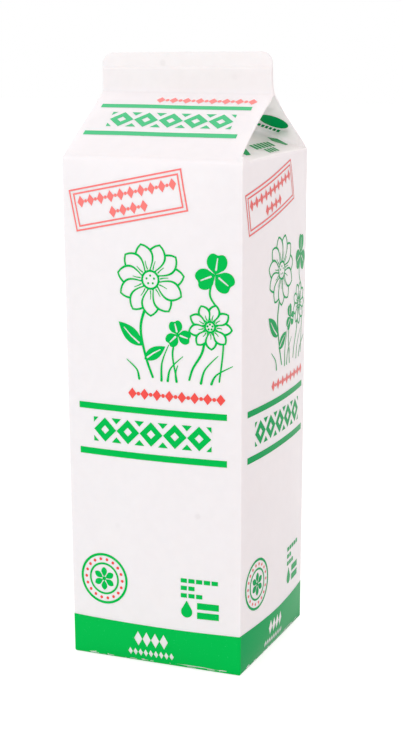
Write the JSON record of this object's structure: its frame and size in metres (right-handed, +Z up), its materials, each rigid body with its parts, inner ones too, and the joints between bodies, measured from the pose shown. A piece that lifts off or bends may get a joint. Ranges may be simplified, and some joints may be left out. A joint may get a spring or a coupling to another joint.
{
  "type": "gable-top drink carton",
  "caption": "Filled gable-top carton for kefir or another cultured milk drink, with a sealed top fin, infolded gussets and slightly bellied printed panels.",
  "frame": {"origin": "centre of the base, in the plane that the rim stands on", "axes": "+Z up, the top fin runs along X, the two roof panels face -Y and +Y, and the infolded gussets face -X and +X"},
  "size_m": [0.0748, 0.0744, 0.2297],
  "materials": {
    "carton_board": "white coated board with a soft gloss, printed in green and red"
  },
  "bodies": {
    "root": {"carton": "carton_board"}
  },
  "joints": []
}
